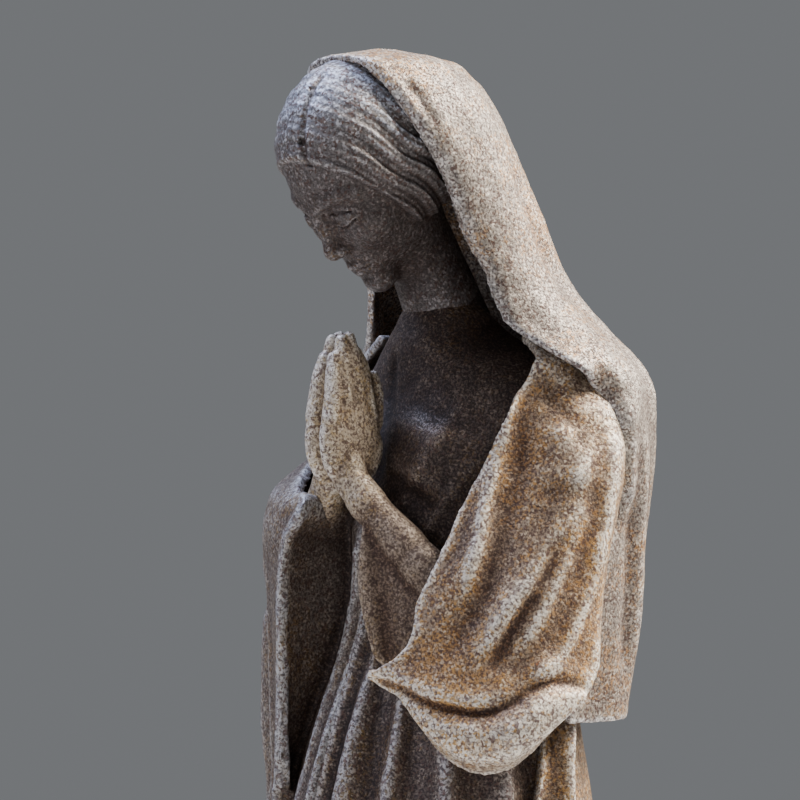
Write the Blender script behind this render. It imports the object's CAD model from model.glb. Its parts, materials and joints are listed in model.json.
import json
import math

import bpy
import numpy as np
from mathutils import Matrix, Vector


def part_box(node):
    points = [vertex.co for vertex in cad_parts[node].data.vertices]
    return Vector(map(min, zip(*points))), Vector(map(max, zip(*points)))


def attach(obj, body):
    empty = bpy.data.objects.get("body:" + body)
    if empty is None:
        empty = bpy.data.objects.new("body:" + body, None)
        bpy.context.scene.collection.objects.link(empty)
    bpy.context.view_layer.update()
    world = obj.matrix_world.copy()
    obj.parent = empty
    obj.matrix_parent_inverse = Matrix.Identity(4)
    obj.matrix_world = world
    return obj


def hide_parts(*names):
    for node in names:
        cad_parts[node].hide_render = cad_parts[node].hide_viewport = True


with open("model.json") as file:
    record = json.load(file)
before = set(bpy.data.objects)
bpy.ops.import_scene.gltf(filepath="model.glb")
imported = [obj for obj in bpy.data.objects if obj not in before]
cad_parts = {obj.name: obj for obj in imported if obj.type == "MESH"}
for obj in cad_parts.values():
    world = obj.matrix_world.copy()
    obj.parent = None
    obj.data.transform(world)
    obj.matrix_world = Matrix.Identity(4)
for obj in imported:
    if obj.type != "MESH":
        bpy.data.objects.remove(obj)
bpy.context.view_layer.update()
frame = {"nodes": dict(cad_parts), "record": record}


# ---------------------------------------------------------------- plinth
# The base is one hollow octagonal iron casting with a cove between its foot and its deck. It is open
# underneath, where the tie rod's nut is reached, and its arrises are rounded by the mould and by wear.
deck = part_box("plinth")[1][2]
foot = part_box("plinth")[1][0]
core_radius = 0.063         # of the opening in the deck
plinth_wall = 0.007

# Outer side going up, across the deck, and back down inside: (half width across the flats, height).
plinth_profile = (
    (foot, 0), (foot, deck * 0.20), (foot - 0.003, deck * 0.26), (foot - 0.014, deck * 0.38),
    (foot - 0.019, deck * 0.48), (foot - 0.0185, deck * 0.60), (foot - 0.014, deck * 0.72),
    (foot - 0.010, deck * 0.78), (foot - 0.010, deck * 0.94), (foot - 0.013, deck), (core_radius, deck),
    (core_radius, deck - plinth_wall), (foot - 0.026, deck - plinth_wall), (foot - 0.026, deck * 0.3),
    (foot - plinth_wall * 1.4, 0), (foot, 0),
)


def merge_points(piece, reach):
    """Merges a piece's points that lie within reach, and turns its faces outwards."""
    bpy.context.view_layer.objects.active = piece
    bpy.ops.object.mode_set(mode="EDIT")
    bpy.ops.mesh.select_all(action="SELECT")
    bpy.ops.mesh.remove_doubles(threshold=reach)
    bpy.ops.mesh.normals_make_consistent(inside=False)
    bpy.ops.object.mode_set(mode="OBJECT")


bpy.ops.object.select_all(action="DESELECT")
corner = 1 / math.cos(math.pi / 8)
bpy.ops.mesh.primitive_circle_add(vertices=8, radius=foot * corner, rotation=(0, 0, math.pi / 8))
plinth = bpy.context.object
bpy.ops.object.transform_apply(location=False, rotation=True, scale=False)
bpy.ops.object.mode_set(mode="EDIT")
bpy.ops.mesh.select_all(action="SELECT")
for (width, height), (next_width, next_height) in zip(plinth_profile, plinth_profile[1:]):
    bpy.ops.mesh.extrude_region_move(TRANSFORM_OT_translate={"value": (0, 0, next_height - height)})
    share = next_width / width
    bpy.ops.transform.resize(value=(share, share, 1), center_override=(0, 0, next_height))
merge_points(plinth, 0.00002)
plinth.name = plinth.data.name = "plinth_casting"


def finish_modifier(piece, kind, **settings):
    """Adds a modifier with its settings to a piece and applies it."""
    modifier = piece.modifiers.new(kind.lower(), kind)
    for setting, value in settings.items():
        setattr(modifier, setting, value)
    bpy.context.view_layer.objects.active = piece
    bpy.ops.object.modifier_apply(modifier=modifier.name)


finish_modifier(plinth, "BEVEL", width=0.0016, segments=3, limit_method="ANGLE", angle_limit=math.radians(14))
bpy.ops.object.shade_smooth_by_angle(angle=math.radians(35))


def linear(hex_colour):
    """An sRGB hex colour as the linear values that a shader takes."""
    levels = [int(hex_colour[i:i + 2], 16) / 255 for i in (1, 3, 5)]
    return (*[v / 12.92 if v <= 0.04045 else ((v + 0.055) / 1.055) ** 2.4 for v in levels], 1)


def add_node(tree, kind, settings=None, links=None, stops=None):
    """Adds a shader node with its settings, input values, links and, on a ramp, its colour stops."""
    node = tree.nodes.new("ShaderNode" + kind)
    for name, value in (settings or {}).items():
        if isinstance(name, int) or name in node.inputs:
            node.inputs[name].default_value = value
        else:
            setattr(node, name, value)
    for name, socket in (links or {}).items():
        tree.links.new(socket, node.inputs[name])
    for k, (place, colour) in enumerate(stops or ()):
        stop = node.color_ramp.elements[k] if k < 2 else node.color_ramp.elements.new(place)
        stop.position = place
        stop.color = colour
    return node


def new_metal(name, metallic):
    """A material with its node tree, its shader's inputs, and the place on the piece that it colours."""
    material = bpy.data.materials.new(name)
    material.use_nodes = True
    tree = material.node_tree
    shader = tree.nodes["Principled BSDF"].inputs
    shader["Metallic"].default_value = metallic
    return material, tree, shader, add_node(tree, "TexCoord").outputs["Object"]


grit_mm = 1.3           # sand grain and rust pits of the casting's skin
fleck_mm = 1.25         # scales where the graphite skin shines through
scale_edge_mm = 1.6     # how far the grit frays the scales' edges
smear_mm = 11           # streaks of rust, and lumps in the skin
patch_mm = 75           # where rust, dust and bare skin take turns


def weathered_iron(name, skin, rust, pale, pit, rust_share=0.5, pitting=0.75):
    """Sand-cast grey iron left outdoors: a pitted skin that is grey where it is rubbed and ochre where it
    rusts, with dark brown pits a grain wide and pale scales, darker in hollows and paler on ridges."""
    material, tree, shader, place = new_metal("weathered_cast_iron_" + name, metallic=0.25)
    shader["Specular IOR Level"].default_value = 0.45

    def noise(size_mm, detail, roughness):
        looks = {"Scale": 1000 / size_mm, "Detail": detail, "Roughness": roughness}
        return add_node(tree, "TexNoise", looks, {"Vector": place}).outputs

    def plus(base, share, value):
        return add_node(
            tree, "Math", {"operation": "MULTIPLY_ADD", 1: share}, {0: value, 2: base}
        ).outputs["Value"]

    def spread(value, low, high, least=0.0, most=1.0):
        limits = {"From Min": low, "From Max": high, "To Min": least, "To Max": most}
        return add_node(tree, "MapRange", limits, {"Value": value}).outputs["Result"]

    def painted(under, share, colour):
        looks = {"data_type": "RGBA", 7: linear(colour)}
        return add_node(tree, "Mix", looks, {0: share, 6: under}).outputs[2]

    patches = noise(patch_mm, 5.0, 0.62)["Fac"]
    smear = noise(smear_mm, 4.0, 0.7)["Fac"]
    grit = noise(grit_mm, 2.5, 0.72)
    frayed = add_node(
        tree, "VectorMath", {"operation": "MULTIPLY_ADD", 1: (scale_edge_mm / 1000,) * 3},
        {0: grit["Color"], 2: place},
    )
    scales = add_node(
        tree, "TexVoronoi", {"Scale": 1000 / fleck_mm, "Randomness": 1.0}, {"Vector": frayed.outputs[0]}
    )
    chance = add_node(tree, "SeparateColor", links={"Color": scales.outputs["Color"]}).outputs
    relief = add_node(tree, "Attribute", {"attribute_name": "relief"}).outputs["Fac"]
    # Rust gathers in its patches and streaks, and takes one scale sooner than the next.
    rusting = plus(plus(patches, 0.55, smear), 0.26, chance["Green"])
    rusty = spread(rusting, 1.08 - 0.42 * rust_share, 1.26 - 0.42 * rust_share)
    ground = add_node(tree, "Mix", {"data_type": "RGBA", 6: linear(skin), 7: linear(rust)}, {0: rusty})
    # One scale in four is pale, more where the iron is rubbed, and their shares differ from patch to patch.
    paling = plus(plus(chance["Red"], 0.6, smear), 1.0, spread(relief, 0.15, 0.9, most=0.45))
    with_scales = painted(ground.outputs[2], spread(paling, 0.92, 1.35), pale)
    # One in five is a dark purple-brown scale of old rust.
    with_deep = painted(with_scales, spread(chance["Blue"], 0.74, 0.86, most=0.85), "#66504c")
    # Pits are the low part of the grit, and there are more of them in the hollows.
    pitted = spread(plus(grit["Fac"], 0.05, relief), 0.53, 0.43, most=pitting)
    with_pits = painted(with_deep, pitted, pit)
    # Dirt stays in hollows, and ridges are rubbed pale.
    shade = add_node(
        tree, "ValToRGB", links={"Fac": spread(relief, -1.0, 1.0)},
        stops=(
            (0.0, linear("#80695b")), (1.0, linear("#ffffff")),
            (0.44, linear("#cbbcac")), (0.64, linear("#e6d9c7")),
        ),
    )
    worn = add_node(
        tree, "Mix", {"data_type": "RGBA", "blend_type": "MULTIPLY", 0: 1.0},
        {6: with_pits, 7: shade.outputs["Color"]},
    )
    tree.links.new(worn.outputs[2], shader["Base Color"])
    tree.links.new(spread(pitted, 0.0, 1.0, 0.46, 0.86), shader["Roughness"])
    fine = add_node(tree, "Bump", {"Strength": 0.55, "Distance": grit_mm / 2600}, {"Height": grit["Fac"]})
    lumpy = add_node(
        tree, "Bump", {"Strength": 0.5, "Distance": 0.0016}, {"Height": smear, "Normal": fine.outputs[0]}
    )
    tree.links.new(lumpy.outputs["Normal"], shader["Normal"])
    return material


def read_points(mesh, kind="co"):
    """The place of every point, or its normal, as rows of three."""
    values = np.empty(len(mesh.vertices) * 3)
    mesh.vertices.foreach_get(kind, values)
    return values.reshape(-1, 3)


def mark_relief(piece, reach_mm, contrast=1.0):
    """Keeps on each point how far it stands out of, or lies in, the surface around it, from -1 to 1."""
    mesh = piece.data
    count = len(mesh.vertices)
    points, normals = read_points(mesh), read_points(mesh, "normal")
    ends = np.empty(len(mesh.edges) * 2, dtype=int)
    mesh.edges.foreach_get("vertices", ends)
    one, two = ends.reshape(-1, 2).T
    share = np.bincount(one, minlength=count) + np.bincount(two, minlength=count)
    length = np.linalg.norm(points[one] - points[two], axis=1).mean() * 1000
    settled = points.copy()
    for _ in range(int(min(max((reach_mm / length) ** 2, 4), 90))):
        total = np.empty_like(settled)
        for axis in range(3):
            total[:, axis] = (
                np.bincount(one, settled[two, axis], count) + np.bincount(two, settled[one, axis], count)
            )
        settled = total / np.maximum(share, 1)[:, None]
    stands_out = ((points - settled) * normals).sum(axis=1) * 1000 / (reach_mm * 0.16)
    attribute = mesh.attributes.new("relief", "FLOAT", "POINT")
    attribute.data.foreach_set("value", np.clip(stands_out, -1, 1) * contrast)


plinth_iron = weathered_iron("base", "#8a8379", "#937a57", "#c2beb6", "#3a2a26", rust_share=0.45)
plinth.data.materials.append(plinth_iron)
mark_relief(plinth, 3)
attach(plinth, "root")
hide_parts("plinth")


# ---------------------------------------------------------------- gown
# The gown is the front shell of the body: a plain bodice, drawn in at the waist, and a skirt whose long
# folds open towards the hem. It was modelled in clay in the sculptor's own units, 840 to the figure.
unit = (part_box("veil")[1][2] - deck) / 840

# Level sections: height, half width, half depth, and how far the centre leans back.
body_sections = (
    (8, 117, 102, -8), (60, 110, 95, -9), (190, 99, 86, -11), (340, 91, 77, -14),
    (450, 88, 72, -15), (500, 74, 62, -10), (530, 62, 56, -5), (560, 58, 54, 0),
    (600, 68, 60, 8), (640, 80, 60, 15), (662, 74, 53, 15), (678, 55, 45, 9),
    (688, 40, 39, 4), (696, 31, 31, -1), (704, 24.5, 24.5, -4), (711, 17, 17, -8),
)
mm_per_degree = 1.75        # on a body 100 mm in radius


def smooth_rows(rows, at):
    """The values of a table at many places, on smooth curves through its rows."""
    rows = np.array(rows, dtype=float)
    keys, values = rows[:, 0], rows[:, 1:]
    slopes = np.gradient(values, keys, axis=0)
    at = np.clip(np.asarray(at, dtype=float), keys[0], keys[-1])
    k = np.clip(np.searchsorted(keys, at, side="right") - 1, 0, len(keys) - 2)
    span = (keys[k + 1] - keys[k])[:, None]
    t = (at - keys[k])[:, None] / span
    return (
        (2 * t**3 - 3 * t**2 + 1) * values[k] + (t**3 - 2 * t**2 + t) * slopes[k] * span
        + (3 * t**2 - 2 * t**3) * values[k + 1] + (t**3 - t**2) * slopes[k + 1] * span
    )


def ease(low, high, at):
    """0 at low, 1 at high, and smooth between."""
    t = np.clip((at - low) / (high - low), 0, 1)
    return t * t * (3 - 2 * t)


def round_body(sections, degrees, heights, out=0.0):
    """Points on level sections, at angles round from the front, and out mm outside them."""
    angle = np.radians(degrees)
    width, depth, lean = np.asarray(sections).T
    return np.stack(
        ((width + out) * np.sin(angle), lean - (depth + out) * np.cos(angle), heights + 0 * angle), axis=1
    )


def fold(across, up, route, width, rise, ends=0.25):
    """A ridge (rise over 0) or groove (under 0) in mm, pressed along a smooth route through a few points.

    width and rise are one value, or a pair for the start and the end of the route.
    """
    knots = [(k, *point) for k, point in enumerate(route)]
    line = smooth_rows(knots, np.linspace(0, len(route) - 1, 9 * (len(route) - 1) + 1))
    nearest = np.full(len(across), 1e9)
    travelled = np.zeros(len(across))
    for k, (start, end) in enumerate(zip(line, line[1:])):
        run = end - start
        t = ((across - start[0]) * run[0] + (up - start[1]) * run[1]) / (run @ run)
        t = np.clip(t, 0, 1)
        away = np.hypot(across - start[0] - run[0] * t, up - start[1] - run[1] * t)
        closer = away < nearest
        nearest = np.where(closer, away, nearest)
        travelled = np.where(closer, (k + t) / (len(line) - 1), travelled)
    width, rise = (v if isinstance(v, tuple) else (v, v) for v in (width, rise))
    broad = width[0] + (width[1] - width[0]) * travelled
    high = rise[0] + (rise[1] - rise[0]) * travelled
    taper = ease(0, ends, travelled) * ease(0, ends, 1 - travelled)
    return high * np.exp(-(nearest / broad) ** 2) * taper


def lay_folds(degrees, heights, folds):
    """All of a piece's folds added up. Their routes are (degrees round, height) points."""
    across = degrees * mm_per_degree
    total = np.zeros(len(across))
    for route, width, rise in folds:
        total += fold(across, heights, [(d * mm_per_degree, h) for d, h in route], width, rise)
    return total


def loft(name, columns, rows, place):
    """A fine grid whose points are put in place by their share of the way across and up, in mm."""
    bpy.ops.object.select_all(action="DESELECT")
    bpy.ops.mesh.primitive_grid_add(x_subdivisions=columns, y_subdivisions=rows, size=2)
    piece = bpy.context.object
    piece.name = piece.data.name = name
    share = (read_points(piece.data) + 1) / 2
    points = place(share[:, 0], share[:, 1]) * unit + (0, 0, deck)
    piece.data.vertices.foreach_set("co", points.ravel())
    piece.data.update()
    return piece


def cast_in_iron(piece, material, *nodes, reach_mm=7, roughness_mm=0.9, contrast=1.0):
    """The finish that every casting of the figure has: an uneven skin, its iron, and its place."""
    clouds = bpy.data.textures.new(piece.name + "_skin", "CLOUDS")
    clouds.noise_scale = 0.009
    clouds.noise_depth = 3
    finish_modifier(
        piece, "DISPLACE", texture=clouds, texture_coords="OBJECT",
        strength=roughness_mm / 1000, mid_level=0.5,
    )
    bpy.ops.object.select_all(action="DESELECT")
    piece.select_set(True)
    bpy.ops.object.shade_smooth()
    mark_relief(piece, reach_mm, contrast)
    piece.data.materials.clear()
    piece.data.materials.append(material)
    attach(piece, "root")
    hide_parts(*nodes)


def close_skin(piece, cell, passes):
    """Draws one closed skin over all of a piece's parts, and smooths it in a number of passes."""
    finish_modifier(piece, "REMESH", mode="VOXEL", voxel_size=cell)
    finish_modifier(piece, "SMOOTH", factor=0.5, iterations=passes)


def weather(piece, change):
    """Adds to a casting's relief from place to place, in the sculptor's units, so it lies darker or paler."""
    for point, level in zip(piece.data.vertices, piece.data.attributes["relief"].data):
        level.value += change((point.co - Vector((0, 0, deck))) / unit)


def ramp(low, high, at):
    """0 at low, 1 at high, and even between."""
    return min(max((at - low) / (high - low), 0), 1)


gown_seam = 112             # degrees round from the front, where the back casting laps over
gown_low, gown_high = 8.6, 711
# The skirt's folds: (degrees at the waist, degrees at the hem, width, height above the cloth between).
skirt_folds = (
    (-97, -105, 10, 6), (-74, -82, 13, 8), (-52, -58, 12, 8), (-33, -38, 13, 10), (-12, -18, 11, 7),
    (14, 15, 12, 10), (31, 37, 10, 8), (53, 62, 14, 9), (76, 86, 13, 7), (95, 104, 10, 4),
)
bodice_folds = (
    (((-24, 652), (-22, 632), (-18, 612)), 24, 5), (((26, 652), (24, 632), (20, 612)), 24, 5),
    (((-6, 690), (-2, 650), (2, 600)), 6, -2), (((40, 676), (30, 640), (14, 596), (4, 570)), 6, 1.2),
    (((52, 640), (36, 600), (18, 566)), 6, 1.2), (((-40, 676), (-30, 636), (-14, 590)), 6, 1.2),
    (((-60, 640), (-30, 560), (40, 552), (70, 570)), 7, -3),
)


def sleeve_fall(degrees, heights):
    """The right sleeve hangs open under its forearm, in folds that run into the skirt."""
    hanging = ease(612, 580, heights) * ease(250, 500, heights)
    pleats = np.cos(np.radians((degrees + 10 + (590 - heights) * 0.06) * 360 / 10.5))
    return hanging * ease(-20, -8, degrees) * (9 + 2.6 * pleats) * np.exp(-((degrees - 3) / 13) ** 2)


def gown_surface(across, up):
    # Rows lie closer where the bodice is, and wider apart down the long skirt.
    heights = gown_low + (gown_high - gown_low) * (0.62 * up + 0.38 * (1 - (1 - up) ** 2))
    degrees = gown_seam * (2 * across - 1)
    sections = smooth_rows(body_sections, heights)
    falling = 1 - ease(455, 560, heights)
    out = np.zeros(len(across))
    for start, end, width, rise in skirt_folds:
        sway = 2.2 * np.sin(heights / 70 + start)
        centre = start + (end - start) * ease(560, 20, heights) + sway * falling
        span = width * (0.55 + 0.45 * falling) * (0.8 + 0.45 * ease(500, 20, heights))
        away = (degrees - centre) * mm_per_degree
        out += rise * falling * np.exp(-(away / span) ** 2)
    out -= 4.5 * falling
    out *= 1 - ease(98, 108, np.abs(degrees))
    out += lay_folds(degrees, heights, bodice_folds)
    out += sleeve_fall(degrees, heights)
    return round_body(sections, degrees, heights, out)


gown = loft("gown_casting", 190, 230, gown_surface)
finish_modifier(gown, "SOLIDIFY", thickness=0.004, offset=-1, use_even_offset=True)
gown_iron = weathered_iron("gown", "#6b6363", "#85714f", "#b2aeac", "#281e22", rust_share=0.45)
cast_in_iron(gown, gown_iron, "gown_front")
# The bodice under the hands and the hood is never rubbed, and stays dark.
weather(gown, lambda p: -0.7 * ramp(540, 590, p.z))


# ---------------------------------------------------------------- ground plate and shoes
# The figure stands on a thin cast plate that follows the hem, with the toes of both shoes standing out
# from under the gown. The plate is screwed down through the plinth's deck.
def add_pad(centre, radii, turn=(0, 0, 0), segments=40):
    """A ball with three radii, in mm, for a shoe's toe or the fleshy parts of a hand."""
    bpy.ops.mesh.primitive_uv_sphere_add(segments=segments, ring_count=24, radius=1)
    pad = bpy.context.object
    pad.data.transform(
        Matrix.Translation(Vector(centre) * unit + Vector((0, 0, deck)))
        @ Matrix.Rotation(turn[0], 4, "X") @ Matrix.Rotation(turn[2], 4, "Z")
        @ Matrix.Diagonal(Vector((*[r * unit for r in radii], 1)))
    )
    return [pad]


def join_to(piece, *others):
    """Joins other objects to a piece, which keeps its name."""
    bpy.ops.object.select_all(action="DESELECT")
    for member in (piece, *others):
        member.select_set(True)
    bpy.context.view_layer.objects.active = piece
    bpy.ops.object.join()


plate_top = 8
plate_width, plate_depth, plate_lean = 119, 107, -11.0
# The plate's top and rim: share of the way out, share of its half width, height.
plate_rim = (
    (0, 0.62, plate_top), (0.72, 1.02, plate_top), (0.84, 1.045, plate_top * 0.82),
    (0.92, 1.05, plate_top * 0.5), (1, 1.05, 0.5),
)


def plate_surface(across, up):
    """From the core opening, across the top to the rim, and down it."""
    degrees = 360 * across
    way, widths, levels = zip(*plate_rim)
    reach, heights = np.interp(up, way, widths), np.interp(up, way, levels)
    sections = np.stack((plate_width * reach, plate_depth * reach, np.full(len(up), plate_lean)), axis=1)
    return round_body(sections, degrees, heights)


ground = loft("ground_plate_casting", 180, 40, plate_surface)
merge_points(ground, 0.00005)
finish_modifier(ground, "SOLIDIFY", thickness=0.003, offset=-1)
for side in (-1, 1):
    toe_turn = (0, 0, math.radians(-8 * side))
    join_to(ground, *add_pad((30 * side, -108, plate_top + 1), (12, 17, 9.5), toe_turn, segments=48))
cast_in_iron(ground, gown_iron, "ground_plate", reach_mm=4)


# ---------------------------------------------------------------- cloak down the back
# The back of the cloak is a separate casting that laps over the front shell's edges and is screwed to
# them. Under the veil it is plain, and below it the cloth falls in broad, shallow folds.
side_seam = 96              # degrees round from the front, where the arm castings end
back_low, back_high = 9, 676
back_edge = ((8, 60), (190, 72), (340, 82), (450, 89), (500, 98), (560, 98), (690, 98))
back_folds = (
    (((112, 540), (107, 500), (101, 451), (92, 300), (80, 60)), (5, 9), (14, 6)),
    (((116, 480), (110, 250), (104, 20)), (7, 12), (3, 5)),
    (((135, 480), (132, 250), (128, 20)), (6, 10), (3, 5)),
    (((152, 490), (156, 250), (152, 20)), (8, 13), (3, 6)),
    (((176, 480), (174, 250), (180, 20)), (6, 12), (3, 5)),
    (((198, 490), (202, 250), (204, 20)), (8, 11), (3, 6)),
    (((220, 480), (226, 250), (228, 20)), (6, 12), (3, 5)),
    (((240, 480), (244, 250), (250, 20)), (7, 12), (3, 5)),
    (((256, 470), (260, 280), (262, 60)), (5, 8), (3, 4)),
)


def back_surface(across, up):
    heights = back_low + (back_high - back_low) * up
    start = smooth_rows(back_edge, heights)[:, 0]
    end = 360 - np.maximum(side_seam, start)
    degrees = start + (end - start) * across
    sections = smooth_rows(body_sections, heights)
    out = 5.2 + lay_folds(degrees, heights, back_folds)
    return round_body(sections, degrees, heights, out)


cloak_back = loft("cloak_back_casting", 190, 200, back_surface)
finish_modifier(cloak_back, "SOLIDIFY", thickness=0.0045, offset=-1)
cloak_iron = weathered_iron("cloak", "#8d8377", "#b99762", "#d2cdc5", "#3e2b28", rust_share=0.66)
cast_in_iron(cloak_back, cloak_iron, "mantle_back")


# ---------------------------------------------------------------- cloak over the right arm
# On the right the cloak is drawn over the forearm up to the wrist and falls from it to the hem like a
# curtain, with its front edge turned inwards. It is cast by itself and held by a stud from inside.
cloak_low, cloak_high = 40, 694
# Both shoulders are alike: the cloak's sections round the side, and those at its front edge.
shoulder_sections = (
    (600, 114, 98, 8), (640, 112, 90, 14), (658, 104, 78, 16), (670, 92, 65, 17), (680, 76, 56, 16),
    (688, 60, 48, 15), (694, 49, 44, 13),
)
shoulder_border = ((670, 84, 61, 17), (680, 72, 54, 16), (688, 58, 47, 15), (694, 48, 44, 13))
right_sections = (
    (40, 119, 104, -9), (190, 107, 94, -11), (340, 99, 85, -14), (430, 102, 84, -14), (460, 114, 92, -11),
    (490, 121, 97, -9), (520, 121, 98, -6), (560, 117, 99, 0), *shoulder_sections,
)
right_border = (
    (40, 119, 104, -9), (190, 107, 94, -11), (340, 99, 85, -14), (450, 94, 79, -15),
    (503, 97, 84, -9), (545, 104, 93, -1), (576, 110, 98, 4), (598, 113, 98, 7),
    (608, 106, 93, 6), (622, 98, 80, 11), (649, 90, 68, 16), *shoulder_border,
)
right_edge = (
    (40, -50), (190, -38), (340, -24), (440, -17), (472, -15), (503, -14), (545, -12),
    (570, -10), (588, -7), (602, -2), (610, -4), (618, -20), (630, -38), (659, -50), (680, -50), (694, -46),
)
right_folds = (
    (((-30, 606), (-33, 560), (-40, 480), (-52, 300), (-58, 60)), (6, 10), (1.5, 6)),
    (((-52, 630), (-51, 560), (-58, 440), (-66, 240), (-70, 60)), (8, 11), (3, 6)),
    (((-72, 640), (-69, 560), (-74, 440), (-82, 240), (-86, 60)), (7, 9), (3, 5)),
    (((-62, 600), (-61, 500), (-64, 400)), 5, -3), (((-42, 590), (-45, 500), (-50, 380)), 5, -2),
    (((-84, 660), (-80, 600), (-60, 560), (-30, 552)), 8, -4), (((-86, 630), (-70, 580), (-48, 568)), 6, 2.5),
)

# Behind the side seams the cloak turns in under the veil's edge and the back casting.
under_veil = ((520, 82, 70, 4), (575, 88, 76, 8), (615, 99, 84, 11), (640, 99, 82, 13), (694, 90, 60, 13))
to_edge = 0.86              # share of the columns from the side seam to the front edge
clear_of_body = 5.4


def cloak_section(border, side, edge, heights, degrees, narrow=0.0):
    """Over an arm: the border's section near the front edge, the full cloak's at the side, and tucked in
    behind the seam. narrow is how many degrees the border's section reaches unchanged."""
    share = ease(narrow, 55 + narrow / 4, np.abs(degrees - edge))[:, None]
    near, full = smooth_rows(border, heights), smooth_rows(side, heights)
    mixed = near + (full - near) * share
    body = smooth_rows(body_sections, heights)
    mixed[:, 0] = np.maximum(mixed[:, 0], body[:, 0] + clear_of_body)
    mixed[:, 1] = np.maximum(mixed[:, 1], body[:, 1] + clear_of_body + np.abs(mixed[:, 2] - body[:, 2]))
    tucked = np.minimum(mixed, smooth_rows(under_veil, heights))
    return mixed + (tucked - mixed) * ease(side_seam - 2, side_seam + 19, np.abs(degrees))[:, None]


def right_surface(across, up):
    heights = cloak_low + (cloak_high - cloak_low) * up
    edge = smooth_rows(right_edge, heights)[:, 0]
    degrees = edge - (edge + side_seam + 20) * np.clip(1 - across / to_edge, 0, 1)
    narrow = 28 * ease(610, 570, heights)
    sections = cloak_section(right_border, right_sections, edge, heights, degrees, narrow)
    rolled = np.exp(-((degrees - edge) * mm_per_degree / 4.5) ** 2) * (1 - ease(640, 690, heights))
    out = lay_folds(degrees, heights, right_folds) + 1.5 * rolled + 2.5 * ease(450, 500, heights)
    out *= 1 - 0.6 * ease(650, 690, heights)
    # Below the wrist the edge turns in sharply and runs back to the sleeve behind it.
    turned = np.clip((across - to_edge) / (1 - to_edge), 0, 1) * ease(614, 600, heights)
    degrees = degrees - 9 * ease(0, 0.4, turned) + 27 * ease(0.4, 1, turned)
    body = smooth_rows(body_sections, heights) + np.outer(sleeve_fall(degrees, heights) + 0.5, (1, 1, 0))
    sections = sections + (body - sections) * ease(0, 0.45, turned)[:, None]
    out *= 1 - turned
    out -= 5 * np.exp(-((degrees + 38) / 18) ** 2) * ease(430, 470, heights) * ease(600, 570, heights)
    return round_body(sections, degrees, heights, out)


cloak_right = loft("cloak_right_casting", 120, 420, right_surface)
finish_modifier(cloak_right, "SOLIDIFY", thickness=0.0050, offset=-1)
close_skin(cloak_right, 0.0018, 3)
right_iron = weathered_iron("far_side", "#817f81", "#8f7c60", "#bcbbbb", "#3a2c2d", rust_share=0.44)
cast_in_iron(cloak_right, right_iron, "mantle_right")


# ---------------------------------------------------------------- cloak over the left arm
# On the left the cloak hangs from the shoulder over the forearm in a deep flap. Under the flap's hem it
# is gathered into a rounded pouch below the elbow, and folds run from the shoulder down to that hem.
left_sections = (
    (430, 104, 88, -14), (460, 120, 104, -10), (490, 124, 106, -9), (520, 121, 104, -6),
    (560, 116, 100, 0), *shoulder_sections,
)
left_border = (
    (470, 118, 103, -9), (521, 109, 98, -5), (560, 107, 94, 2), (584, 102, 89, 5),
    (602, 98, 84, 8), (628, 93, 76, 13), (659, 88, 66, 16), *shoulder_border,
)
left_edge = (
    (470, 26), (521, 28), (531, 35.5), (560, 38.5), (584, 43.5), (602, 46.5), (628, 51.5),
    (645, 55), (662, 60), (676, 68), (686, 78), (694, 84),
)
left_hem = (
    (0.00, 519), (0.10, 514), (0.17, 509), (0.23, 496), (0.28, 485), (0.40, 473), (0.54, 474), (0.71, 494),
    (0.86, 522), (1.00, 540),
)
flap_hem = (
    (20, 520), (38, 516), (45, 510), (54, 506), (62, 505), (70, 510), (76, 518), (84, 518), (100, 505),
)
left_folds = (
    (((60, 672), (58, 650), (55, 615), (54, 584), (50, 552)), (5, 6), (3.5, 4.5)),
    (((67, 659), (65, 622), (62, 584), (56, 551), (51, 527)), (6, 8), (-2, -3)),
    (((87, 648), (83, 615), (74, 576), (64, 551), (56, 520)), (8, 8), (3, 5)),
    (((88, 620), (83, 586), (76, 556), (67, 522)), (6, 6), (2, 4)),
    (((80, 600), (75, 570), (68, 545), (61, 516)), 4, (-1.5, -3)),
    (((96, 650), (93, 600), (88, 560), (80, 532), (72, 514)), (7, 7), (3, 5)),
    (((92, 585), (85, 552), (76, 524)), 4, (-1.5, -3.5)),
    (((46, 620), (43, 586), (39, 556), (37, 526)), 5, (-1, -2)),
    (((58, 690), (72, 676), (90, 668)), 9, 2), (((70, 668), (80, 650), (86, 630)), 6, -1.5),
    (((78, 652), (79, 632), (79, 612)), 12, 3),
)


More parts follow.
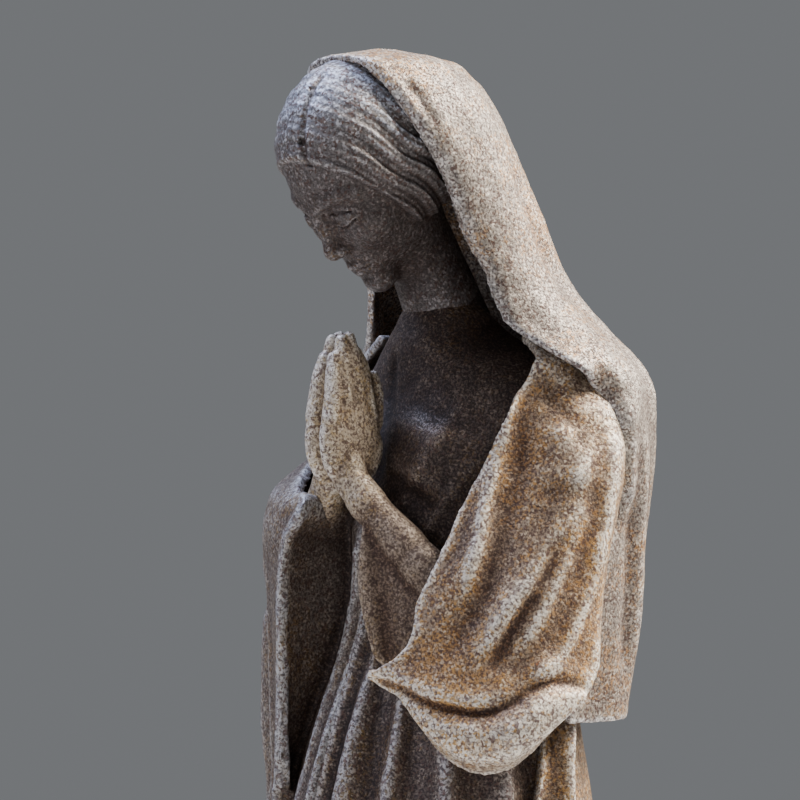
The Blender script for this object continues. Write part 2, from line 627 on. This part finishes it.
def left_surface(across, up):
    hem = smooth_rows(left_hem, across)[:, 0]
    heights = hem + (cloak_high - hem) * up
    edge = smooth_rows(left_edge, heights)[:, 0]
    behind_seam = np.maximum(across - to_edge, 0) / (1 - to_edge)
    degrees = edge + (side_seam - edge) * np.minimum(across / to_edge, 1) + 24 * behind_seam
    sections = cloak_section(left_border, left_sections, edge, heights, degrees)
    rolled = np.exp(-((degrees - edge) * mm_per_degree / 4.5) ** 2) * (1 - ease(650, 690, heights))
    line = smooth_rows(flap_hem, degrees)[:, 0]
    above = heights - line
    on_flap = ease(-1.5, 2.5, above)
    # The flap's own lip, the shadow line under it, and the round pouch below that.
    out = lay_folds(degrees, heights, left_folds) * on_flap
    out += np.exp(-((above - 5) / 5) ** 2) + 1.5 * rolled - 2.5
    below = np.clip(-above / np.maximum(line - hem, 12), 0, 1)
    pouch = 9 * np.sin(np.pi * below ** 0.75) * np.exp(-((degrees - 66) / 24) ** 2)
    out += (1 - on_flap) * (-5 + 4 * ease(60, 74, degrees) + pouch)
    out -= 10 * ease(0.72, 1, below) * (1 - on_flap)
    out *= 1 - 0.6 * ease(650, 690, heights)
    # Over the shoulder the cloth fills the veil from inside, so the two run into each other.
    out += 9 * np.exp(-((heights - 682) / 9) ** 2) * ease(56, 76, degrees) * ease(100, 88, degrees)
    return round_body(sections, degrees, heights, out)


cloak_left = loft("cloak_left_casting", 150, 210, left_surface)
finish_modifier(cloak_left, "SOLIDIFY", thickness=0.0050, offset=-1)
close_skin(cloak_left, 0.0014, 3)
left_iron = weathered_iron("near_arm", "#a0958a", "#c39e66", "#e6dfd2", "#4a3633", rust_share=0.66)
cast_in_iron(cloak_left, left_iron, "mantle_left")


# ---------------------------------------------------------------- veil
# The veil is a hood that sits back on the hair, leaves the face and parting free, and falls over both
# shoulders to the elbows. It is cast as one shell and screwed to the cloak's back.
veil_sections = (
    (495, 96, 82, 4), (540, 99, 86, 6), (600, 102, 88, 10), (640, 104, 84, 14),
    (675, 101, 73, 17), (697, 78, 57, 15), (716, 62, 52, 7), (730, 57, 51, 1),
    (750, 55, 53, -8), (770, 54, 54, -19), (790, 52, 56, -29), (810, 48, 54, -37),
    (825, 40, 48, -43), (834, 29, 37, -46), (840, 3, 4, -45),
)
# The opening in side view, from the brow back and down to the hem: (place along Y, height).
veil_opening = (
    (-130, 862), (-82, 846), (-74, 828), (-60, 804), (-47, 782), (-40, 770), (-29, 744), (-18, 724),
    (-12, 698), (0, 683), (13, 672), (25, 660), (31, 640), (31, 615), (20, 575), (8, 540), (2, 515),
    (2, 480), (-130, 480),
)
veil_wall = 4.5
veil_low, veil_rise = 495, 345
# Folds in side view, the same on both sides: they run from the crown down to the shoulders and the hem.
veil_folds = (
    (((-56, 822), (-46, 800), (-33, 776), (-21, 748), (-5, 722), (15, 700)), (8, 13), (2.6, 4.5)),
    (((-60, 822), (-54, 810), (-46, 796)), 2.4, -1.7),
    (((-30, 834), (-22, 800), (-8, 764), (8, 730), (26, 702), (40, 676), (48, 640)), (8, 12), (0.6, 1.8)),
    (((4, 800), (8, 770), (18, 740), (36, 708), (56, 678), (62, 640)), (3.5, 5), (-1.5, -3.0)),
    (((14, 806), (20, 770), (34, 734), (54, 696), (70, 640), (74, 560)), (5, 8), (1, 3.5)),
    (((52, 660), (54, 600), (52, 500)), (6, 8), (2, 4)),
    (((64, 650), (66, 580), (64, 500)), (5, 6), (-2, -4)),
    (((44, 650), (45, 590), (44, 500)), (4, 5), (-3, -4)),
)


def hood_surface(across, up):
    """The closed hood, before its front is cut away."""
    heights = veil_low + veil_rise * np.sin(np.pi / 2 * up) ** 0.9
    sections = smooth_rows(veil_sections, heights)
    plain = round_body(sections, 360 * across, heights)
    left_side = ease(-10, 10, plain[:, 0])
    out = np.zeros(len(across))
    for route, width, rise in veil_folds:
        pressed = fold(plain[:, 1], heights, route, width, rise)
        out += pressed * left_side
        # The right side hangs a little differently from the left.
        shifted = [(y + 4, height - 9) for y, height in route]
        out += fold(plain[:, 1], heights, shifted, width, rise) * (1 - left_side)
    lip = [(y + 4.5, height) for y, height in veil_opening[1:-2]]
    out += fold(plain[:, 1], heights, lip, 3.2, 1.2, ends=0.04)
    out += fold(plain[:, 1], heights, ((-16, 712), (-6, 694), (4, 682), (18, 670), (30, 640)), 12, -3.5)
    out += fold(plain[:, 1], heights, ((24, 664), (31, 642), (34, 620), (30, 596)), 15, 7)
    # Over the left arm the edge dips into the cloak, and the two look like one cloth.
    dip = ((10, 676), (24, 662), (31, 640), (31, 615), (22, 580))
    out += fold(plain[:, 1], heights, dip, 6.5, -6.5, ends=0.2) * left_side
    out += 2.2 * np.cos(np.radians(360 * across * 9)) * ease(640, 500, heights)
    return round_body(sections, 360 * across, heights, out - 1.0)


veil = loft("veil_casting", 260, 230, hood_surface)
merge_points(veil, 0.00002)
finish_modifier(veil, "SOLIDIFY", thickness=veil_wall * unit, offset=-1)

# The opening is cut straight through from side to side, and its edge is rounded by the remesh.
cutter_reach = 0.14
opening = bpy.data.meshes.new("veil_opening")
opening.from_pydata(
    [(-cutter_reach, y * unit, deck + height * unit) for y, height in veil_opening], [],
    [tuple(range(len(veil_opening)))],
)
opening_cutter = bpy.data.objects.new("veil_opening", opening)
bpy.context.collection.objects.link(opening_cutter)
bpy.ops.object.select_all(action="DESELECT")
opening_cutter.select_set(True)
bpy.context.view_layer.objects.active = opening_cutter
bpy.ops.object.mode_set(mode="EDIT")
bpy.ops.mesh.select_all(action="SELECT")
bpy.ops.mesh.extrude_region_move(TRANSFORM_OT_translate={"value": (2 * cutter_reach, 0, 0)})
merge_points(opening_cutter, 0.00002)
finish_modifier(veil, "BOOLEAN", object=opening_cutter, operation="DIFFERENCE")
bpy.data.objects.remove(opening_cutter)
close_skin(veil, 0.0015, 8)
finish_modifier(veil, "DECIMATE", ratio=0.55)


def drill(piece, spots, radius, depth):
    """Small blind holes pressed into a fine mesh: each spot is in mm in the sculptor's frame."""
    at, normals = read_points(piece.data), read_points(piece.data, "normal")
    for spot in spots:
        spot = np.array(spot) * unit + (0, 0, deck)
        away = np.linalg.norm(at - spot, axis=1) * 1000
        at -= normals * (depth * (1 - ease(radius * 0.6, radius * 1.5, away)) / 1000)[:, None]
    piece.data.vertices.foreach_set("co", at.ravel())
    piece.data.update()


# Where a halo or crown was once pinned, two holes are left in the veil and two in the hair.
drill(veil, ((14, 4, 836), (18, 16, 822)), 2.0, 4)
veil_iron = weathered_iron("veil", "#a5a7ab", "#bf9f76", "#eef1f6", "#42353a", rust_share=0.4)
cast_in_iron(veil, veil_iron, "veil", contrast=0.65)


# ---------------------------------------------------------------- head
# Head, hair and neck are one casting. The face is a plain, calm one with lowered lids. The hair is parted
# in the middle and drawn back in waves over the temples, under the veil.
head_centre = Vector((0, -57, 785))
head_bow = 44               # degrees the face looks down
face_middle = np.array((0.0, -6.0, -12.0))
least_reach, most_reach = 8.0, 82.0     # of the head's surface from the middle of the face
halvings = 18


def ball(p, centre, radii):
    """Distance outside a ball with three radii, in mm."""
    q = p - centre
    inner = np.linalg.norm(q / radii, axis=1)
    slope = np.linalg.norm(q / np.square(radii), axis=1)
    return inner * (inner - 1) / np.maximum(slope, 1e-6)


def rod(p, start, end, start_radius, end_radius):
    """Distance outside a round-ended rod, in mm."""
    start, end = np.array(start, float), np.array(end, float)
    run = end - start
    t = np.clip((p - start) @ run / (run @ run), 0, 1)
    radius = start_radius + (end_radius - start_radius) * t
    return np.linalg.norm(p - start - t[:, None] * run, axis=1) - radius


def joined(one, two, soft):
    """Two forms joined, with a fillet."""
    near = np.maximum(soft - np.abs(one - two), 0) / soft
    return np.minimum(one, two) - near * near * soft / 4


def carved(one, two, soft):
    """The second form cut out of the first, with its edge rounded."""
    return -joined(-one, two, soft)


def mirrored(p):
    return p * (-1, 1, 1)


def line_form(p, route, radius):
    """A thin bead through a few points."""
    total = None
    for start, end in zip(route, route[1:]):
        bead = rod(p, start, end, radius, radius)
        total = bead if total is None else np.minimum(total, bead)
    return total


lid_line = (
    (6.8, -38.2, -10.6), (9.8, -41.0, -12.1), (13.6, -42.2, -12.8), (17.6, -40.6, -12.0),
    (21.0, -37.0, -10.2),
)
lid_crease = ((7.0, -39.4, -5.6), (11, -41.4, -4.0), (15, -41.0, -3.9), (20.2, -37.2, -6.2))
brow_line = ((5, -41.4, 1.8), (11, -41.2, 4.6), (18, -37.6, 4.8), (24, -31.0, 1.0))
lip_line = ((9.6, -41.4, -38.8), (5, -44.9, -38.9), (0, -46.4, -39.3))


def face_form(p):
    """Skull, jaw and neck, with the features put on or cut in one by one. Both halves are alike."""
    near = np.where(p[:, :1] < 0, mirrored(p), p)
    lid_edge = [(x, y - 0.3, z + 1.2) for x, y, z in lid_line]
    form = ball(p, (0, 2, 4), (36.5, 45.5, 42))
    for change, feature, soft in (
        (joined, ball(p, (0, -12, -16), (27.5, 33, 36)), 9),
        (joined, ball(p, (0, -14, -36), (20.5, 23, 18.5)), 9),  # jaw
        (joined, ball(p, (0, -36.6, -51.8), (9, 8.5, 7.4)), 7),  # chin
        (joined, ball(p, (0, -35.0, -38), (12.5, 9.5, 11)), 8),  # mouth
        (joined, ball(near, (16, -28.5, -20), (10.5, 11.5, 11)), 9),  # cheek
        (carved, ball(near, (13.6, -47.6, -6.5), (9.0, 6.0, 6.0)), 7),  # eye socket
        (joined, line_form(near, brow_line, 1.2), 6),
        (joined, ball(near, (13.6, -33.6, -8.6), (9.2, 8.6, 8.0)), 2.5),  # lowered lid
        (joined, line_form(near, lid_edge, 0.6), 1.6),
        (carved, line_form(near, lid_line, 0.5), 1.0),
        (carved, line_form(near, lid_crease, 0.45), 1.8),
        (joined, rod(p, (0, -42.2, -2), (0, -49.0, -21.5), 2.6, 3.4), 6),  # nose
        (joined, ball(p, (0, -49.0, -23.2), (3.7, 3.8, 3.6)), 5),
        (joined, ball(near, (4.2, -45.0, -24.8), (2.7, 4.0, 2.8)), 3.2),
        (carved, ball(near, (2.9, -47.4, -28.4), (1.2, 1.8, 0.9)), 1),  # nostril
        (joined, rod(near, (8.4, -41.6, -38.4), (2.8, -44.4, -36.8), 1.0, 1.6), 2),  # lips
        (joined, rod(near, (2.8, -44.4, -36.8), (0, -44.5, -37.4), 1.6, 1.5), 2),
        (joined, rod(near, (6.6, -42.2, -40.2), (0, -44.4, -41.4), 1.2, 2.1), 2),
        (carved, line_form(near, lip_line, 0.5), 0.9),
        (carved, ball(p, (0, -46.2, -46.4), (7.5, 3.2, 2.2)), 3),
        (joined, rod(p, (0, -1.7, -40), (0, -29, -123.6), 17.5, 23), 9),  # neck
    ):
        form = change(form, feature, soft)
    return form


face_window, window_radii = np.array((0, -46, -26)), np.array((43, 37, 54))


def hair_form(p):
    near = np.where(p[:, :1] < 0, mirrored(p), p)
    crown = ball(p, (0, 1.5, 2), (40.0, 47.5, 49))
    crown = joined(crown, ball(near, (26, 4, -14), (11.5, 23, 25)), 8)
    return carved(crown, ball(p, face_window, window_radii), 6)


def hair_waves(p):
    """How far the locks stand out: they follow the hairline from the parting back over the temples."""
    back = (np.linalg.norm((p - face_window) / window_radii, axis=1) - 1) * 38
    side = np.sign(p[:, 0])
    along_lock = p[:, 2] * 0.8 - p[:, 1] * 0.35
    bend = 1.5 * np.sin(along_lock / 13 + side * 0.8) + 0.7 * np.sin(along_lock / 5.5 + side)
    locks = np.sin(2 * np.pi * back / 9.5 + bend)
    strands = np.sin(2 * np.pi * back / 3.1 + 2.1 * bend)
    full = 0.3 + 0.7 * ease(6, 26, np.abs(p[:, 0])) * ease(34, 4, p[:, 2])
    parting = np.exp(-((p[:, 0] - 8 + 0.12 * p[:, 1]) / 1.7) ** 2)
    parting *= -2.2 * ease(10, 34, p[:, 2]) * ease(12, -2, p[:, 1])
    # The locks lie flat at the hairline, so that it has no rim.
    flat = ease(-1, 5, back)
    return (1.1 * locks + 0.4 * strands) * full * flat + parting - 0.9 * np.exp(-(back / 2.5) ** 2)


bpy.ops.object.select_all(action="DESELECT")
bpy.ops.mesh.primitive_uv_sphere_add(segments=300, ring_count=230, radius=1)
head = bpy.context.object
head.name = head.data.name = "head_casting"

# Along each way out from the middle of the face, the surface is found by halving.
ways = read_points(head.data)
nearer, farther = np.full(len(ways), least_reach), np.full(len(ways), most_reach)
for _ in range(halvings):
    middle = (nearer + farther) / 2
    at = face_middle + ways * middle[:, None]
    inside = joined(face_form(at), hair_form(at), 2.5) < 0
    nearer, farther = np.where(inside, middle, nearer), np.where(inside, farther, middle)
at = face_middle + ways * nearer[:, None]
in_hair = ease(0.6, -1.2, hair_form(at) - face_form(at))
at += ways * (hair_waves(at) * in_hair)[:, None]
bow = Matrix.Rotation(math.radians(head_bow), 3, "X")
at = at @ np.array(bow).T + np.array(head_centre)
head.data.vertices.foreach_set("co", (at * unit + (0, 0, deck)).ravel())
head.data.update()


def add_taper(foot, top, foot_radius, top_radius, vertices=24):
    """A round bar that narrows from its foot to its top, in mm."""
    foot, top = (Vector(p) * unit + Vector((0, 0, deck)) for p in (foot, top))
    bpy.ops.mesh.primitive_cone_add(
        vertices=vertices, radius1=foot_radius * unit, radius2=top_radius * unit,
        depth=(top - foot).length, location=(foot + top) / 2,
        rotation=(top - foot).to_track_quat("Z", "Y").to_euler(),
    )
    return bpy.context.object


# The neck leans forward out of the gown, and its top lies inside the jaw.
neck = add_taper((0, 8, 676), (0, -25, 744), 22.8, 18, vertices=96)
bpy.ops.object.mode_set(mode="EDIT")
bpy.ops.mesh.select_all(action="SELECT")
bpy.ops.mesh.subdivide(number_cuts=12)
bpy.ops.object.mode_set(mode="OBJECT")
bpy.ops.object.transform_apply(location=True, rotation=True, scale=True)
join_to(head, neck)
drill(head, ((8, -96, 818), (10, -103, 790)), 1.8, 3)
head_iron = weathered_iron("head", "#7b7f8a", "#837158", "#c6d0e4", "#322a30", rust_share=0.26, pitting=0.55)
cast_in_iron(head, head_iron, "head", reach_mm=3, roughness_mm=0.25, contrast=0.55)
# Rain rubs the hair bright, and the face and neck under the hood stay dark.
weather(head, lambda p: 0.55 * ramp(786, 810, p.z) - 0.75 * ramp(786, 760, p.z))


# ---------------------------------------------------------------- hands
# Both hands are pressed together in front of the breast, fingers up. Each is cast in one with its forearm
# in a close sleeve, and the left one with the open end of its wide sleeve, which hangs below the arm.
finger_pitch = 7.6
fingers = ((0, 30, 4.5), (1, 37, 4.7), (2, 39, 4.6), (3, 33, 4.2))     # place, length, radius


def add_limb(route, radii):
    """Round-ended lengths of flesh through a few points, in mm."""
    made = []
    for point, radius in zip(route, radii):
        spot = Vector(point) * unit + Vector((0, 0, deck))
        bpy.ops.mesh.primitive_uv_sphere_add(segments=24, ring_count=16, radius=radius * unit, location=spot)
        made.append(bpy.context.object)
    return made + [add_taper(*bar) for bar in zip(route, route[1:], radii, radii[1:])]


def build_hand(name, side, node, material):
    made = []

    def at(x, y, z):
        return (x * side, y, z)

    for k, length, radius in fingers:
        spread = (k - 1.5) * finger_pitch
        base, tip_y = -71 + spread, -72 + spread * 0.62
        lift = -1.6 * abs(k - 1.4)
        made += add_limb(
            (at(7.4, base, 652 + lift), at(7.0, base * 0.55 + tip_y * 0.45, 652 + lift + length * 0.46),
             at(5.6, tip_y + (base - tip_y) * 0.25, 652 + lift + length * 0.78),
             at(4.2, tip_y, 653 + lift + length)),
            (radius + 0.9, radius + 0.35, radius, radius * 0.72),
        )
    made += add_pad(at(6.6, -71, 639), (7.8, 18, 26))
    made += add_pad(at(5.6, -71, 664), (6.2, 14.5, 24))
    made += add_pad(at(6.4, -60, 630), (6.0, 8, 15), (-0.35, 0, 0))
    made += add_limb(
        (at(4.6, -60, 636), at(4.6, -54, 648), at(4.2, -53, 662), at(3.6, -54.5, 671)), (4.6, 4.6, 4.2, 3.4)
    )
    made += add_limb((at(6.4, -72, 634), at(9.5, -72, 618), at(20, -68, 606)), (7.6, 9.0, 9.8))
    # The close sleeve, creased where the arm bends.
    wrist, elbow = Vector(at(17, -70, 609)), Vector(at(94, -28, 520))
    steps = 30
    route = [wrist.lerp(elbow, k / steps) for k in range(steps + 1)]
    sleeve = [
        9.4 + 6.2 * k / steps + 0.5 * math.sin(k * 1.15 + 1.2 * math.sin(k * 0.6)) for k in range(steps + 1)
    ]
    made += add_limb(route, sleeve)
    hand = made[0]
    join_to(*made)
    bpy.ops.object.transform_apply(location=True, rotation=True, scale=True)
    hand.name = hand.data.name = name
    if side > 0:
        add_sleeve_end(hand, wrist, elbow)
    close_skin(hand, 0.00095, 7)
    cast_in_iron(hand, material, node, reach_mm=3, roughness_mm=0.35, contrast=0.7)
    # Dirt lies thicker on the sleeve than on the hand, which stands out in the rain.
    arm = elbow - wrist
    weather(hand, lambda p: -0.8 * ramp(-0.3, 0.7, (p - wrist).dot(arm) / arm.length_squared * 9))


def add_sleeve_end(hand, wrist, elbow):
    """The wide sleeve's open end: a flat lobe of cloth under the forearm, with a few long folds."""
    run = (elbow - wrist).xy.to_3d()
    reach = run.length
    run.normalize()
    outwards = Vector((run.y, -run.x, 0))

    def lobe(across, up):
        s = 3 + 62 * across
        top = wrist.z + (elbow.z - wrist.z) * s / reach
        low = np.interp(s, (3, 10, 20, 32, 48, 65), (560, 528, 517, 519, 529, 549))
        heights = low + (top - low) * up
        wave = 2.4 * np.sin(s / 4.6) + 1.2 * np.sin(s / 2.9 + heights / 30)
        bulge = 3.5 * np.sin(np.pi * up) + 3
        x, y = (wrist[k] + run[k] * s + outwards[k] * (wave * (1 - up) + bulge) for k in (0, 1))
        return np.stack((x, y, heights), axis=1)

    cloth = loft("sleeve_end", 60, 80, lobe)
    finish_modifier(cloth, "SOLIDIFY", thickness=0.005, offset=0)
    join_to(hand, cloth)


hand_iron = weathered_iron("hands", "#ccc7bd", "#c9b68a", "#f0eee9", "#645650", rust_share=0.42)
build_hand("left_hand_casting", 1, "left_hand", hand_iron)
build_hand("right_hand_casting", -1, "right_hand", hand_iron)


# ---------------------------------------------------------------- rod, bridges and fasteners
# Wrought-iron fittings hold the castings together. They are plain, dark and lightly rusted, and the
# screws' heads lie at the castings' surface or just under it.
bloom_mm = 6


def forged_iron(name):
    """Mill-scaled wrought iron: blue-black scale, broken by matt orange-brown rust blooms."""
    material, tree, shader, place = new_metal(name, metallic=0.7)
    blooms = add_node(
        tree, "TexNoise", {"Scale": 1000 / bloom_mm, "Detail": 6.0, "Roughness": 0.65}, {"Vector": place}
    )
    colour = add_node(
        tree, "ValToRGB", links={"Fac": blooms.outputs["Fac"]},
        stops=((0.42, linear("#2f2b2a")), (0.62, linear("#7a4a2b")), (0.52, linear("#4a3a31"))),
    )
    tree.links.new(colour.outputs["Color"], shader["Base Color"])
    rough = add_node(tree, "MapRange", {"To Min": 0.38, "To Max": 0.85}, {"Value": blooms.outputs["Fac"]})
    tree.links.new(rough.outputs["Result"], shader["Roughness"])
    bump = add_node(tree, "Bump", {"Strength": 0.4, "Distance": 0.0004}, {"Height": blooms.outputs["Fac"]})
    tree.links.new(bump.outputs["Normal"], shader["Normal"])
    return material


fittings = [row["node"] for row in frame["record"]["subparts"] if row["material_slot"] == "forged_iron"]
scaled_iron = forged_iron("scaled_wrought_iron")
for fitting in fittings:
    node = frame["nodes"][fitting]
    node.data.materials.clear()
    node.data.materials.append(scaled_iron)


# ---------------------------------------------------------------- floor, light and camera
# A pale studio floor, warm soft light from high on the right and from behind, a cool one from high on the
# left and a weak fill from the front, and the camera level with the breast, to the figure's left front.
bpy.ops.object.select_all(action="DESELECT")
bpy.ops.mesh.primitive_plane_add(size=8)
floor = bpy.context.object
floor.name = "studio_floor"
floor_paint = bpy.data.materials.new("matt_floor_paint")
floor_paint.use_nodes = True
paint = floor_paint.node_tree.nodes["Principled BSDF"].inputs
paint["Base Color"].default_value = linear("#d9d8d5")
paint["Roughness"].default_value = 0.9
floor.data.materials.append(floor_paint)

world = bpy.data.worlds.new("studio")
world.use_nodes = True
sky = world.node_tree.nodes["Background"].inputs
sky["Color"].default_value = linear("#dfe3e8")
sky["Strength"].default_value = 0.23
bpy.context.scene.world = world

view_turn = math.radians(55)
to_camera = Vector((math.sin(view_turn), -math.cos(view_turn), 0))
to_right = Vector((math.cos(view_turn), math.sin(view_turn), 0))
aim = Vector((-0.0164, -0.0234, 0.719))


def add_softbox(name, right, near, height, size, power, colour):
    """A square light placed to the camera's right, towards the camera and up, facing the figure."""
    lamp = bpy.data.lights.new(name, "AREA")
    lamp.size = size
    lamp.energy = power
    lamp.color = linear(colour)[:3]
    box = bpy.data.objects.new(name, lamp)
    bpy.context.scene.collection.objects.link(box)
    box.location = aim + to_right * right + to_camera * near + Vector((0, 0, height))
    box.rotation_euler = (aim - box.location).to_track_quat("-Z", "Y").to_euler()


add_softbox("top_right_softbox", 1.0, -0.05, 1.25, 0.7, 104, "#fff5e8")
add_softbox("back_rim_softbox", 1.3, -0.6, 0.6, 0.7, 34, "#fff5e8")
add_softbox("top_left_softbox", -0.7, -0.25, 1.4, 0.8, 46, "#cfdcff")
add_softbox("front_left_softbox", -0.9, 0.9, 0.4, 0.6, 4, "#f4f2ff")

camera_data = bpy.data.cameras.new("portrait_camera")
camera = bpy.data.objects.new("portrait_camera", camera_data)
bpy.context.scene.collection.objects.link(camera)
distance, seen_width = 2.5, 0.416
camera.location = aim + to_camera * distance
camera.rotation_euler = (-to_camera).to_track_quat("-Z", "Y").to_euler()
camera_data.lens = camera_data.sensor_width * distance / seen_width
camera_data.clip_start = 0.01
bpy.context.scene.camera = camera
